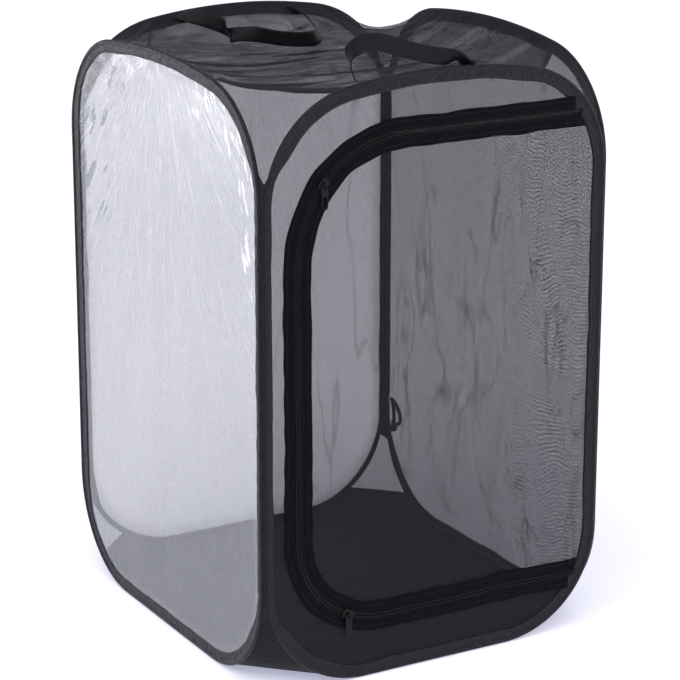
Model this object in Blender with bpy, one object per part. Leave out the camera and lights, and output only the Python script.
"""Collapsible mesh insect cage: four spring-hoop walls, a zipped front door, two webbing handles.

The four walls are spring wire hoops in folded tape, sewn together along four upright seams, and the
seams are the hinges that let the cage fold flat. Metres, +Z up, the front faces -Y. The origin is on
the ground under the middle of the cage. Run it with blender --background --python part.py.
"""
import math

import bmesh
import bpy
from mathutils import Matrix, Vector

# Overall size, over the outside of the taped hoops
cage_width = 0.390
cage_depth = 0.425
cage_height = 0.600

# Shared clearances and steps of the round stretches
gap = 0.0003
corner_steps = 8
crown_steps = 4
wire_sides = 6

# Spring wire, its crimped joining sleeve and the folded tape around it
wire_radius = 0.0009
wire_end_gap = 0.001
sleeve_wall = 0.0004
sleeve_bore_play = 0.0002
sleeve_length = 0.022
tape_cloth = 0.0006
tape_width = 0.014
sleeve_outer_radius = wire_radius + sleeve_bore_play + sleeve_wall
tape_bore_radius = sleeve_outer_radius + gap
bead_radius = tape_bore_radius + tape_cloth
bead_steps = 8
bore_steps = 6

# Hoop outline: corner radii of the wire, and how far the upper corners' centres lie below the crown
top_corner_radius = 0.105
bottom_corner_radius = 0.105
corner_drop = 0.112

# Cloth and vinyl of the walls
panel_thickness = 0.0004
panel_tuck = 0.006

# Upright seams, which are the fold lines
seam_radius = 0.0011
fold_offset = bead_radius + gap

# Top and bottom cloth
cloth_thickness = 0.0005
floor_thickness = 0.0006
top_sag = 0.020
top_ripple = 0.0022
top_ripple_length = 0.066
top_ripple_slant = 0.167
top_rings = 7
chord_steps = 3
gusset_rows = 8
gusset_columns = 3
gusset_start_angle = math.radians(12)
gusset_edge_gap = 0.001
bottom_gusset_lift = 0.0012

# Zip of the door: the strips of panel beside, above and below the centreline of its two coils
zip_left_strip = 0.0196
zip_top_strip = 0.0585
zip_bottom = 0.0615
zip_top_radius = 0.113
zip_bottom_radius = 0.094
zip_corner_steps = 16
zip_band_width = 0.030
coil_width = 0.0025
coil_thickness = 0.0014
coil_half_gap = 0.0006
zip_tape_thickness = 0.0006
zip_end_gap = 0.0015
stop_length = 0.003
door_hinge_strip = 0.0056
door_corner_gap = 0.004

# Zip sliders, and their places as angles about the centres of the zip's corners
slider_length = 0.012
slider_width = 0.009
slider_plate = 0.0012
slider_post_width = 0.0006
slider_post_length = 0.004
slider_inner_width = 0.006
slider_inner_length = 0.010
slider_rim = 0.001
slider_corner = 0.002
upper_slider_angle = math.radians(139.2)
lower_slider_angle = math.radians(244.9)

# Pulls: a cross bar held under the slider's bridge, and a tab
bar_side = 0.001
bridge_foot = 0.001
bridge_cap = 0.0008
bridge_width = 0.0016
bridge_foot_play = 0.0007
pull_limb = 0.0015
pull_eye_length = 0.0035
pull_width = 0.0072
upper_pull_length = 0.024
upper_pull_hole_length = 0.011
lower_pull_length = 0.025

# Webbing handles
handle_width = 0.018
handle_thickness = 0.0012
handle_steps = 14
handle_span = 0.144
front_handle_seat_gap = 0.001
front_handle_middle = -0.028
front_handle_rise_left = 0.060
front_handle_rise_right = 0.020
back_handle_seat_gap = 0.0003
back_handle_middle = 0.0
back_handle_rise = 0.072
back_handle_lean = math.radians(-80)

# Elastic storage loop and its knob, sewn in the back right seam
loop_cord_radius = 0.0014
loop_root_height = 0.124
loop_length = 0.030
loop_half_width = 0.006
loop_points = 18
knob_radius = 0.005
knob_segments = 12
knob_rings = 8

# The wire's lowest and highest centre, and the fold lines at the inner corners of the walls
wire_low = bead_radius
wire_high = cage_height - bead_radius
fold_x = cage_width / 2 - bead_radius - fold_offset
fold_y = cage_depth / 2 - bead_radius - fold_offset
low_corner_height = wire_low + bottom_corner_radius
high_corner_height = wire_high - corner_drop
half_slot = panel_thickness / 2 + gap
half_tape = half_slot + tape_cloth
leg_end = bead_radius - tape_width

# The zip and the door's hinge line, placed from the front tape's inner edge and the cage's height
front_tape_edge = fold_x - fold_offset + leg_end
zip_left = zip_left_strip - front_tape_edge
zip_top = cage_height - zip_top_strip
door_hinge_x = front_tape_edge - door_hinge_strip

# The zip's pieces, beside its centreline and outwards from the wall's middle plane
coil_edge = coil_half_gap + coil_width
zip_tape_edge = coil_edge + gap
zip_tape_low = panel_thickness / 2 + gap
zip_tape_high = zip_tape_low + zip_tape_thickness
coil_low = gap
coil_high = coil_low + coil_thickness
door_edge_x = door_hinge_x - gap
slider_plate_low = coil_high + gap
slider_plate_high = slider_plate_low + slider_plate
bar_axis = slider_plate_high + gap + bar_side / 2
bridge_reach = bar_side / 2 + bridge_foot_play
bridge_top = bar_axis + bar_side / 2 + gap + bridge_cap


class Wall:
    """One wall: its outward normal, its middle plane and the half span of its wire hoop."""

    def __init__(self, name, out, plane, half_span):
        self.name = name
        self.out = Vector(out)
        self.along = Vector((0, 0, 1)).cross(self.out)
        self.plane = plane
        self.half_span = half_span

    def place(self, u, z, n=0.0):
        """World point from the distance along the wall, the height and the offset outwards."""
        return self.along * u + self.out * (self.plane + n) + Vector((0, 0, z))


front = Wall("front", (0, -1, 0), fold_y + fold_offset, fold_x - fold_offset)
right = Wall("right", (1, 0, 0), fold_x + fold_offset, fold_y - fold_offset)
back = Wall("back", (0, 1, 0), fold_y + fold_offset, fold_x - fold_offset)
left = Wall("left", (-1, 0, 0), fold_x + fold_offset, fold_y - fold_offset)
walls = [front, right, back, left]


def clear_scene():
    for item in list(bpy.data.objects):
        bpy.data.objects.remove(item, do_unlink=True)


def make_material(name, colour, roughness, metallic=0.0, alpha=1.0):
    material = bpy.data.materials.new(name)
    material.use_nodes = True
    shader = material.node_tree.nodes["Principled BSDF"]
    shader.inputs["Base Color"].default_value = (*colour, 1.0)
    shader.inputs["Roughness"].default_value = roughness
    shader.inputs["Metallic"].default_value = metallic
    shader.inputs["Alpha"].default_value = alpha
    return material


def add_object(name, form, material, pivot=Vector((0, 0, 0))):
    """Put a bmesh, made in world places, into the scene with its origin at the pivot."""
    bmesh.ops.recalc_face_normals(form, faces=form.faces)
    bmesh.ops.translate(form, verts=form.verts, vec=-pivot)
    mesh = bpy.data.meshes.new(name)
    form.to_mesh(mesh)
    form.free()
    mesh.materials.append(material)
    item = bpy.data.objects.new(name, mesh)
    item.location = pivot
    bpy.context.collection.objects.link(item)
    return item


def shade_round(item):
    item.data.shade_smooth()
    item.data.set_sharp_from_angle(angle=math.radians(40))


def arc(centre, radius, start, end, steps):
    """Points of a flat arc, each with its outward direction."""
    points = []
    for step in range(steps + 1):
        angle = start + (end - start) * step / steps
        out = Vector((math.cos(angle), math.sin(angle)))
        points.append((Vector(centre) + out * radius, out))
    return points


def crown_arc(half_span):
    """Radius of the crowned top edge and the angle that it takes up on each side."""
    side = half_span - top_corner_radius
    rise = corner_drop - top_corner_radius
    radius = (side ** 2 + corner_drop ** 2 - top_corner_radius ** 2) / (2 * rise)
    return radius, math.asin(side / (radius - top_corner_radius))


def hoop_outline(half_span):
    """The wire's centreline, anticlockwise from the middle of the bottom run."""
    quarter = math.pi / 2
    low = half_span - bottom_corner_radius
    high = half_span - top_corner_radius
    radius, lean = crown_arc(half_span)
    points = arc((low, low_corner_height), bottom_corner_radius, -quarter, 0, corner_steps)
    points += arc((high, high_corner_height), top_corner_radius, 0, quarter - lean, corner_steps)
    points += arc((0, wire_high - radius), radius, quarter - lean, quarter + lean, crown_steps)[1:-1]
    points += arc((-high, high_corner_height), top_corner_radius, quarter + lean, 2 * quarter,
                  corner_steps)
    points += arc((-low, low_corner_height), bottom_corner_radius, 2 * quarter, 3 * quarter,
                  corner_steps)
    return points


def sweep(rings, closed):
    """Skin a list of rings, each a closed loop of points, into one solid."""
    form = bmesh.new()
    loops = [[form.verts.new(point) for point in ring] for ring in rings]
    pairs = list(zip(loops, loops[1:]))
    if closed:
        pairs.append((loops[-1], loops[0]))
    for first, second in pairs:
        count = len(first)
        for i in range(count):
            form.faces.new((first[i], first[(i + 1) % count], second[(i + 1) % count], second[i]))
    if not closed:
        form.faces.new(loops[0])
        form.faces.new(loops[-1])
    return form


def prism(outline, depth):
    """A flat plate: a closed outline of world points, moved by the vector depth."""
    form = bmesh.new()
    near = [form.verts.new(point) for point in outline]
    far = [form.verts.new(point + depth) for point in outline]
    form.faces.new(near)
    form.faces.new(far)
    count = len(near)
    for i in range(count):
        form.faces.new((near[i], near[(i + 1) % count], far[(i + 1) % count], far[i]))
    return form


def tape_section():
    """Folded tape: a round bead around the wire, open towards the panel between two legs."""
    outer_turn = math.pi - math.asin(half_tape / bead_radius)
    inner_turn = math.pi - math.asin(half_slot / tape_bore_radius)
    outer = [out * bead_radius for point, out in arc((0, 0), 1, outer_turn, -outer_turn, bead_steps)]
    inner = [out * tape_bore_radius
             for point, out in arc((0, 0), 1, -inner_turn, inner_turn, bore_steps)]
    section = [Vector((leg_end, half_slot)), Vector((leg_end, half_tape))] + outer
    return section + [Vector((leg_end, -half_tape)), Vector((leg_end, -half_slot))] + inner


def make_wall_frame(wall, tape, steel):
    outline = hoop_outline(wall.half_span)
    section = tape_section()
    rings = []
    for point, out in outline:
        ring = []
        for radial, normal in section:
            u, z = point + out * radial
            ring.append(wall.place(u, z, normal))
        rings.append(ring)
    shade_round(add_object(f"{wall.name}_binding", sweep(rings, True), tape))

    start = Vector((wire_end_gap / 2, wire_low))
    down = Vector((0, -1))
    open_outline = [(start, down)] + outline + [(Vector((-start.x, start.y)), down)]
    rings = []
    for point, out in open_outline:
        ring = []
        for spot, way in arc((0, 0), wire_radius, 0, math.tau, wire_sides)[:-1]:
            u, z = point + out * spot.x
            ring.append(wall.place(u, z, spot.y))
        rings.append(ring)
    shade_round(add_object(f"{wall.name}_spring_hoop", sweep(rings, False), steel))
    make_sleeve(wall, steel)


def make_sleeve(wall, steel):
    """The crimped tube that joins the two ends of the wire, in the middle of the bottom run."""
    outline = [(-sleeve_length / 2, sleeve_outer_radius), (sleeve_length / 2, sleeve_outer_radius),
               (sleeve_length / 2, wire_radius + sleeve_bore_play),
               (-sleeve_length / 2, wire_radius + sleeve_bore_play)]
    rings = []
    for turn, way in arc((0, 0), 1, 0, math.tau, bead_steps)[:-1]:
        rings.append([wall.place(u, wire_low + radius * turn.x, radius * turn.y)
                      for u, radius in outline])
    shade_round(add_object(f"{wall.name}_hoop_sleeve", sweep(rings, True), steel))


def panel_outline(wall):
    """The panel's edge, tucked into the slot of the tape."""
    points = []
    for point, out in hoop_outline(wall.half_span):
        u, z = point + out * (leg_end + panel_tuck)
        points.append(wall.place(u, z, -panel_thickness / 2))
    return points


def make_panel(wall, name, material):
    form = prism(panel_outline(wall), wall.out * panel_thickness)
    return add_object(name, form, material)


def make_seam(name, x, y, material):
    """The upright seam of two walls, on their fold line."""
    ring = [Vector((x, y, low_corner_height)) + Vector((spot.x, spot.y, 0))
            for spot, way in arc((0, 0), seam_radius, 0, math.tau, bead_steps)[:-1]]
    form = prism(ring, Vector((0, 0, high_corner_height - low_corner_height)))
    shade_round(add_object(name, form, material, Vector((x, y, low_corner_height))))


def cloth_edge(wall, point, out, reach):
    """Where cloth is sewn to a hoop: outwards along the hoop and in from the wall, beside the bead."""
    inwards = bead_radius + gap + cloth_thickness
    n = -math.sqrt(inwards ** 2 - reach ** 2)
    u, z = point + out * reach
    return wall.place(u, z, n)


def thicken(item, thickness):
    solid = item.modifiers.new("thickness", "SOLIDIFY")
    solid.thickness = thickness
    solid.offset = 0.0


def make_top(material):
    """The top cloth: an eight-sided sheet between the crowned edges, which sags in the middle."""
    reach = (bead_radius + gap + cloth_thickness) / math.sqrt(2)
    quarter = math.pi / 2
    edge = []
    for wall in walls:
        radius, lean = crown_arc(wall.half_span)
        run = arc((0, wire_high - radius), radius, quarter + lean, quarter - lean, 2 * crown_steps)
        run_points = [cloth_edge(wall, point, out, reach) for point, out in run]
        if edge:
            edge += between(edge[-1], run_points[0], chord_steps)
        edge += run_points
    edge += between(edge[-1], edge[0], chord_steps)
    middle_height = wire_high - top_sag
    form = bmesh.new()
    centre = form.verts.new((0, 0, middle_height + top_fold(0, 0, 0)))
    rings = []
    for ring in range(1, top_rings + 1):
        share = ring / top_rings
        verts = []
        for point in edge:
            x = point.x * share
            y = point.y * share
            z = middle_height + (point.z - middle_height) * share ** 2 + top_fold(x, y, share)
            verts.append(form.verts.new((x, y, z)))
        rings.append(verts)
    count = len(edge)
    for i in range(count):
        form.faces.new((centre, rings[0][i], rings[0][(i + 1) % count]))
    for inner, outer in zip(rings, rings[1:]):
        for i in range(count):
            form.faces.new((inner[i], outer[i], outer[(i + 1) % count], inner[(i + 1) % count]))
    item = add_object("top_mesh_panel", form, material)
    thicken(item, cloth_thickness)
    shade_round(item)


def top_fold(x, y, share):
    """Height of the cloth's main folds, which run across the cage and die out at its edges."""
    wave = math.sin(math.tau * (y + x * top_ripple_slant) / top_ripple_length)
    return top_ripple * wave * (1 - share ** 4)


def between(first, last, steps):
    """Points on the straight line between two points, without its ends."""
    return [first.lerp(last, step / steps) for step in range(1, steps)]


def make_bottom(material):
    """The floor cloth: a flat eight-sided sheet on the ground, inside the four hoops."""
    drop = wire_low - floor_thickness
    inset = math.sqrt((bead_radius + gap) ** 2 - drop ** 2)
    outline = []
    for wall in walls:
        half_run = wall.half_span - bottom_corner_radius
        outline.append(wall.place(-half_run, 0, -inset))
        outline.append(wall.place(half_run, 0, -inset))
    form = prism(outline, Vector((0, 0, floor_thickness)))
    add_object("bottom_fabric_panel", form, material)


def make_gusset(name, first, second, top, material):
    """Corner cloth between the round corners of two walls, ruled straight from hoop to hoop."""
    inwards = bead_radius + gap + cloth_thickness
    rows = []
    for row in range(gusset_rows + 1):
        share = row / gusset_rows
        ends = []
        for wall, side in ((first, 1), (second, -1)):
            if top:
                radius = top_corner_radius
                lean = crown_arc(wall.half_span)[1]
                centre_height = high_corner_height
                reach = inwards / math.sqrt(2)
                sign = 1
            else:
                radius = bottom_corner_radius
                lean = 0.0
                centre_height = low_corner_height
                reach = bottom_gusset_lift
                sign = -1
            last = math.pi / 2 - lean - gusset_edge_gap / radius
            angle = gusset_start_angle + (last - gusset_start_angle) * share
            out = Vector((side * math.cos(angle), sign * math.sin(angle)))
            centre = Vector((side * (wall.half_span - radius), centre_height))
            ends.append(cloth_edge(wall, centre + out * radius, out, reach))
        rows.append([ends[0].lerp(ends[1], column / gusset_columns)
                     for column in range(gusset_columns + 1)])
    form = bmesh.new()
    verts = [[form.verts.new(point) for point in row] for row in rows]
    for low, high in zip(verts, verts[1:]):
        for i in range(gusset_columns):
            form.faces.new((low[i], low[i + 1], high[i + 1], high[i]))
    item = add_object(name, form, material)
    thicken(item, cloth_thickness)
    shade_round(item)


def tape_inner_x(z):
    """Where the front wall's right tape ends, towards the door, at this height."""
    edge_x = front.half_span + leg_end
    centre_x = front.half_span - top_corner_radius
    if z > high_corner_height:
        rise = z - high_corner_height
        return centre_x + math.sqrt((top_corner_radius + leg_end) ** 2 - rise ** 2)
    if z < low_corner_height:
        rise = low_corner_height - z
        centre_x = front.half_span - bottom_corner_radius
        return centre_x + math.sqrt((bottom_corner_radius + leg_end) ** 2 - rise ** 2)
    return edge_x


def zip_outline():
    """The zip's centreline from the upper right end round to the lower right end."""
    quarter = math.pi / 2
    upper = (zip_left + zip_top_radius, zip_top - zip_top_radius)
    lower = (zip_left + zip_bottom_radius, zip_bottom + zip_bottom_radius)
    points = [(Vector((tape_inner_x(zip_top), zip_top)), Vector((0, 1)))]
    points += arc(upper, zip_top_radius, quarter, 2 * quarter, zip_corner_steps)
    points += arc(lower, zip_bottom_radius, 2 * quarter, 3 * quarter, zip_corner_steps)
    points.append((Vector((tape_inner_x(zip_bottom), zip_bottom)), Vector((0, -1))))
    return points


def along_zip(inner, outer, low, high, longest):
    """A flat strip beside the zip: offsets from its centreline, and from the wall's middle plane."""
    outline = zip_outline()
    rings = []
    for index, (point, out) in enumerate(outline):
        ring = []
        for offset, n in ((inner, low), (outer, low), (outer, high), (inner, high)):
            x, z = point + out * offset
            if index in (0, len(outline) - 1):
                x = min(tape_inner_x(z) - zip_end_gap, longest)
            ring.append(front.place(x, z, n))
        rings.append(ring)
    return sweep(rings, False)


def make_zip(tape, coil):
    longest = cage_width
    half_band = zip_band_width / 2
    frame_tape = along_zip(zip_tape_edge, half_band, zip_tape_low, zip_tape_high, longest)
    add_object("frame_zip_tape", frame_tape, tape)
    frame_coil = along_zip(coil_half_gap, coil_edge, coil_low, coil_high, longest)
    add_object("frame_zip_coil", frame_coil, coil)
    pivot = Vector((door_hinge_x, -(front.plane + bead_radius), zip_bottom))
    door_tape = along_zip(-half_band, -zip_tape_edge, zip_tape_low, zip_tape_high, door_edge_x)
    add_object("door_zip_tape", door_tape, tape, pivot)
    door_coil = along_zip(-coil_edge, -coil_half_gap, coil_low, coil_high, door_edge_x)
    add_object("door_zip_coil", door_coil, coil, pivot)


def door_outline(offset, right_x, end_gap):
    """The door's edge at an offset from the zip's centreline, closed by its straight hinge edge."""
    outline = zip_outline()
    points = []
    for index, (point, out) in enumerate(outline):
        x, z = point + out * offset
        if index in (0, len(outline) - 1):
            x = tape_inner_x(z) - end_gap
        points.append((x, z))
    reach = right_x + end_gap
    for radius, centre_height, sign in ((bottom_corner_radius, low_corner_height, -1),
                                        (top_corner_radius, high_corner_height, 1)):
        side = reach - (front.half_span - radius)
        rise = math.sqrt((radius + leg_end) ** 2 - side ** 2)
        points.append((right_x, centre_height + sign * rise))
    return points


def make_front_panels(mesh_cloth):
    """The fixed front panel, cut out for the door, and the door's own panel."""
    panel = make_panel(front, "front_mesh_panel", mesh_cloth)
    overrun = panel_thickness
    hole = [front.place(x, z, -panel_thickness / 2 - overrun)
            for x, z in door_outline(zip_tape_edge, door_hinge_x, zip_end_gap)]
    cutter = add_object("door_cutter", prism(hole, front.out * (panel_thickness + 2 * overrun)),
                        mesh_cloth)
    cutter.hide_render = True
    cutter.display_type = "WIRE"
    cut = panel.modifiers.new("door hole", "BOOLEAN")
    cut.operation = "DIFFERENCE"
    cut.solver = "EXACT"
    cut.object = cutter
    leaf = [front.place(x, z, -panel_thickness / 2)
            for x, z in door_outline(-zip_tape_edge, door_edge_x, door_corner_gap)]
    pivot = Vector((door_hinge_x, -(front.plane + bead_radius), zip_bottom))
    add_object("door_mesh_panel", prism(leaf, front.out * panel_thickness), mesh_cloth, pivot)


def make_zip_stops(metal):
    """The clamped blocks where the coils end at the tape of the frame."""
    for name, height in (("upper_zip_stop", zip_top), ("lower_zip_stop", zip_bottom)):
        low = height - coil_edge
        coil_end = max(tape_inner_x(low), tape_inner_x(height + coil_edge)) - zip_end_gap
        start = coil_end + gap
        corners = [(start, low), (start + stop_length, low),
                   (start + stop_length, low + 2 * coil_edge), (start, low + 2 * coil_edge)]
        base = half_tape + gap
        outline = [front.place(x, z, base) for x, z in corners]
        add_object(name, prism(outline, front.out * coil_thickness), metal)


def box(form, centre, size, turn=Matrix.Identity(4)):
    place = Matrix.Translation(centre) @ turn @ Matrix.Diagonal((*size, 1.0))
    return bmesh.ops.create_cube(form, size=1.0, matrix=place)


def slider_place(centre, radius, angle):
    return Vector((centre[0] + radius * math.cos(angle), centre[1] + radius * math.sin(angle)))


def make_slider(name, x, z, angle, metal, pivot):
    """A zip slider: outer plate with its rims, inner plate, the post between, and the bridge."""
    turn = Matrix.Rotation(-angle, 4, front.out * -1)

    def lay(local_x, local_z, n):
        offset = turn @ Vector((local_x, 0, local_z))
        return front.place(x, z, n) + offset

    def plate(width, length, low, high, middle=0.0):
        corners = []
        for sx, sz, start in ((1, 1, 0), (-1, 1, 1), (-1, -1, 2), (1, -1, 3)):
            corner = min(slider_corner, width / 3)
            centre = (sx * (width / 2 - corner) + middle, sz * (length / 2 - corner))
            quarter = math.pi / 2
            corners += [spot for spot, way in arc(centre, corner, start * quarter,
                                                  (start + 1) * quarter, 2)]
        return prism([lay(spot.x, spot.y, low) for spot in corners], front.out * (high - low))

    overlap = gap
    pieces = [plate(slider_width, slider_length, slider_plate_low, slider_plate_high)]
    rim_middle = slider_width / 2 - slider_rim / 2
    for side in (1, -1):
        pieces.append(plate(slider_rim, slider_length - 2 * slider_corner,
                            zip_tape_high + gap, slider_plate_low + overlap, side * rim_middle))
    pieces.append(plate(slider_post_width, slider_post_length, -overlap,
                        slider_plate_low + overlap))
    pieces.append(plate(slider_inner_width, slider_inner_length, -slider_plate, 0.0))
    bridge_length = bridge_reach + bridge_foot
    feet = bmesh.new()
    for side in (1, -1):
        low = slider_plate_high - overlap
        middle = front.place(x, z + side * (bridge_reach + bridge_foot / 2),
                             (low + bridge_top) / 2)
        box(feet, middle, (bridge_width, bridge_top - low, bridge_foot))
    cap = bmesh.new()
    box(cap, front.place(x, z, bridge_top - bridge_cap / 2),
        (bridge_width, bridge_cap, 2 * bridge_length - overlap))
    return fuse(name, pieces + [feet, cap], metal, pivot)


def fuse(name, forms, material, pivot):
    """Join solids that reach into each other into one body."""
    item = add_object(name, forms[0], material, pivot)
    for index, form in enumerate(forms[1:]):
        part = add_object(f"{name}_piece_{index}", form, material, pivot)
        part.hide_render = True
        part.display_type = "WIRE"
        union = item.modifiers.new(f"join {index}", "BOOLEAN")
        union.operation = "UNION"
        union.solver = "EXACT"
        union.object = part
    return item


def make_pull(name, x, z, length, hole_length, metal):
    """A pull: the cross bar under the bridge, two limbs, and a tab with an open loop if it has one."""
    half = pull_width / 2
    eye_half = half - pull_limb
    top = z + bar_side / 2
    bottom = z - length
    eye_low = z - bridge_reach - bridge_foot - pull_eye_length / 2
    corner = pull_limb
    outer = []
    quarter = math.pi / 2
    for sx, cz, start in ((1, top - corner, 0), (-1, top - corner, 1),
                          (-1, bottom + 2 * corner, 2), (1, bottom + 2 * corner, 3)):
        radius = corner if start < 2 else 2 * corner
        outer += [spot for spot, way in arc((x + sx * (half - radius), cz), radius,
                                            start * quarter, (start + 1) * quarter, 3)]
    plate = [front.place(spot.x, spot.y, bar_axis - bar_side / 2) for spot in outer]
    pivot = front.place(x, z, bar_axis)
    item = add_object(name, prism(plate, front.out * bar_side), metal, pivot)
    holes = [(z - bar_side / 2, eye_low)]
    if hole_length:
        holes.append((bottom + pull_limb + hole_length, bottom + pull_limb))
    for index, (high, low) in enumerate(holes):
        hole = bmesh.new()
        box(hole, front.place(x, (high + low) / 2, bar_axis),
            (2 * eye_half, 2 * bar_side, high - low))
        cutter = add_object(f"{name}_hole_{index}", hole, metal, pivot)
        cutter.hide_render = True
        cutter.display_type = "WIRE"
        cut = item.modifiers.new(f"hole {index}", "BOOLEAN")
        cut.operation = "DIFFERENCE"
        cut.solver = "EXACT"
        cut.object = cutter
    return item


def make_zip_hardware(metal):
    upper = (zip_left + zip_top_radius, zip_top - zip_top_radius)
    lower = (zip_left + zip_bottom_radius, zip_bottom + zip_bottom_radius)
    for name, centre, radius, angle, length, hole in (
            ("upper", upper, zip_top_radius, upper_slider_angle, upper_pull_length,
             upper_pull_hole_length),
            ("lower", lower, zip_bottom_radius, lower_slider_angle, lower_pull_length, 0.0)):
        spot = slider_place(centre, radius, angle)
        pivot = front.place(centre[0], centre[1])
        make_slider(f"{name}_zip_slider", spot.x, spot.y, angle, metal, pivot)
        make_pull(f"{name}_zip_pull", spot.x, spot.y, length, hole, metal)


def crown_height(half_span, u):
    """Height of the wire's centreline on the crowned top edge, along its straight steps."""
    points = [point for point, out in hoop_outline(half_span) if point.y > high_corner_height]
    for first, second in zip(points, points[1:]):
        if second.x <= u <= first.x:
            return first.y + (second.y - first.y) * (u - first.x) / (second.x - first.x)


def make_handle(wall, middle, rises, lean, seat_gap, webbing):
    """A webbing handle: a flat arch from two roots on the hoop's top, leant about its root line."""
    roots = []
    for side in (-1, 1):
        u = middle + side * handle_span / 2
        seat = max(crown_height(wall.half_span, u + edge * handle_width / 2) for edge in (-1, 1))
        roots.append(Vector((u, seat + bead_radius + seat_gap + handle_thickness / 2)))
    across = (roots[1] - roots[0]).normalized()
    upwards = Vector((-across.y, across.x))
    ends = [Vector((0.0, 0.0)), Vector((0.0, rises[0])), Vector((0.0, rises[1])), Vector((0.0, 0.0))]
    controls = [root + upwards * end.y for root, end in zip(
        (roots[0], roots[0], roots[1], roots[1]), ends)]
    inner = []
    outer = []
    for step in range(handle_steps + 1):
        s = step / handle_steps
        weights = ((1 - s) ** 3, 3 * s * (1 - s) ** 2, 3 * s ** 2 * (1 - s), s ** 3)
        slopes = (-3 * (1 - s) ** 2, 3 * (1 - s) ** 2 - 6 * s * (1 - s),
                  6 * s * (1 - s) - 3 * s ** 2, 3 * s ** 2)
        point = sum((c * w for c, w in zip(controls, weights)), Vector((0.0, 0.0)))
        way = sum((c * w for c, w in zip(controls, slopes)), Vector((0.0, 0.0))).normalized()
        side = Vector((-way.y, way.x)) * handle_width / 2
        outer.append(point + side)
        inner.append(point - side)
    outline = outer + inner[::-1]
    pivot = wall.place(roots[0].x, roots[0].y)
    axis = (wall.along * across.x + Vector((0, 0, across.y))).normalized()
    form = prism([wall.place(spot.x, spot.y, -handle_thickness / 2) for spot in outline],
                 wall.out * handle_thickness)
    turn = Matrix.Translation(pivot) @ Matrix.Rotation(lean, 4, axis) @ Matrix.Translation(-pivot)
    bmesh.ops.transform(form, matrix=turn, verts=form.verts)
    return add_object(f"{wall.name}_handle", form, webbing, pivot)


def make_storage_loop(elastic, plastic):
    """The elastic loop that ties the folded cage, hanging from the back right seam, and its knob."""
    root_u = right.half_span
    root_n = bead_radius + gap + loop_cord_radius
    knob_n = bead_radius + gap + knob_radius
    bottom_n = root_n + (knob_n - root_n) * loop_length / (loop_length + knob_radius)
    rings = []
    centres = []
    for index in range(loop_points):
        turn = math.tau * index / loop_points
        share = (1 - math.cos(turn)) / 2
        u = root_u + loop_half_width * math.sin(turn) * (1 + share) / 2
        z = loop_root_height - loop_length * share
        n = root_n + (bottom_n - root_n) * share
        centres.append(right.place(u, z, n))
    for index, point in enumerate(centres):
        way = (centres[(index + 1) % loop_points] - centres[index - 1]).normalized()
        first = way.cross(right.out).normalized()
        second = way.cross(first)
        rings.append([point + first * spot.x + second * spot.y
                      for spot, out in arc((0, 0), loop_cord_radius, 0, math.tau, wire_sides)[:-1]])
    pivot = right.place(root_u, loop_root_height, root_n)
    shade_round(add_object("storage_loop", sweep(rings, True), elastic, pivot))
    knob = bmesh.new()
    middle = right.place(root_u, loop_root_height - loop_length - loop_cord_radius - gap - knob_radius,
                         knob_n)
    bmesh.ops.create_uvsphere(knob, u_segments=knob_segments, v_segments=knob_rings,
                              radius=knob_radius, matrix=Matrix.Translation(middle))
    shade_round(add_object("storage_knob", knob, plastic, pivot))


def build():
    clear_scene()
    tape = make_material("binding tape", (0.036, 0.036, 0.042), 0.55)
    steel = make_material("spring steel", (0.45, 0.46, 0.48), 0.35, 1.0)
    mesh_cloth = make_material("black mesh", (0.032, 0.032, 0.040), 0.8, 0.0, 0.45)
    vinyl = make_material("clear vinyl", (0.80, 0.82, 0.86), 0.12, 0.0, 0.3)
    floor_cloth = make_material("floor cloth", (0.022, 0.022, 0.028), 0.75)
    zip_cloth = make_material("zip tape", (0.014, 0.014, 0.018), 0.75)
    zip_coil = make_material("zip coil", (0.018, 0.018, 0.022), 0.4)
    zip_metal = make_material("zip metal", (0.030, 0.030, 0.034), 0.35, 0.7)
    webbing = make_material("webbing", (0.020, 0.020, 0.025), 0.6)
    elastic = make_material("elastic", (0.018, 0.018, 0.022), 0.7)
    plastic = make_material("black plastic", (0.020, 0.020, 0.024), 0.4)

    for wall in walls:
        make_wall_frame(wall, tape, steel)
    make_panel(left, "left_clear_panel", vinyl)
    make_panel(back, "back_clear_panel", vinyl)
    make_panel(right, "right_mesh_panel", mesh_cloth)
    make_front_panels(mesh_cloth)
    for name, x, y in (("front_left_seam", -fold_x, -fold_y), ("front_right_seam", fold_x, -fold_y),
                       ("back_left_seam", -fold_x, fold_y), ("back_right_seam", fold_x, fold_y)):
        make_seam(name, x, y, tape)

    make_top(mesh_cloth)
    make_bottom(floor_cloth)
    for name, first, second in (("front_left", left, front), ("front_right", front, right),
                                ("back_right", right, back), ("back_left", back, left)):
        make_gusset(f"top_{name}_gusset", first, second, True, mesh_cloth)
        make_gusset(f"bottom_{name}_gusset", first, second, False, floor_cloth)

    make_zip(zip_cloth, zip_coil)
    make_zip_stops(zip_metal)
    make_zip_hardware(zip_metal)
    make_handle(front, front_handle_middle, (front_handle_rise_left, front_handle_rise_right), 0.0,
                front_handle_seat_gap, webbing)
    make_handle(back, back_handle_middle, (back_handle_rise, back_handle_rise), back_handle_lean,
                back_handle_seat_gap, webbing)
    make_storage_loop(elastic, plastic)


build()
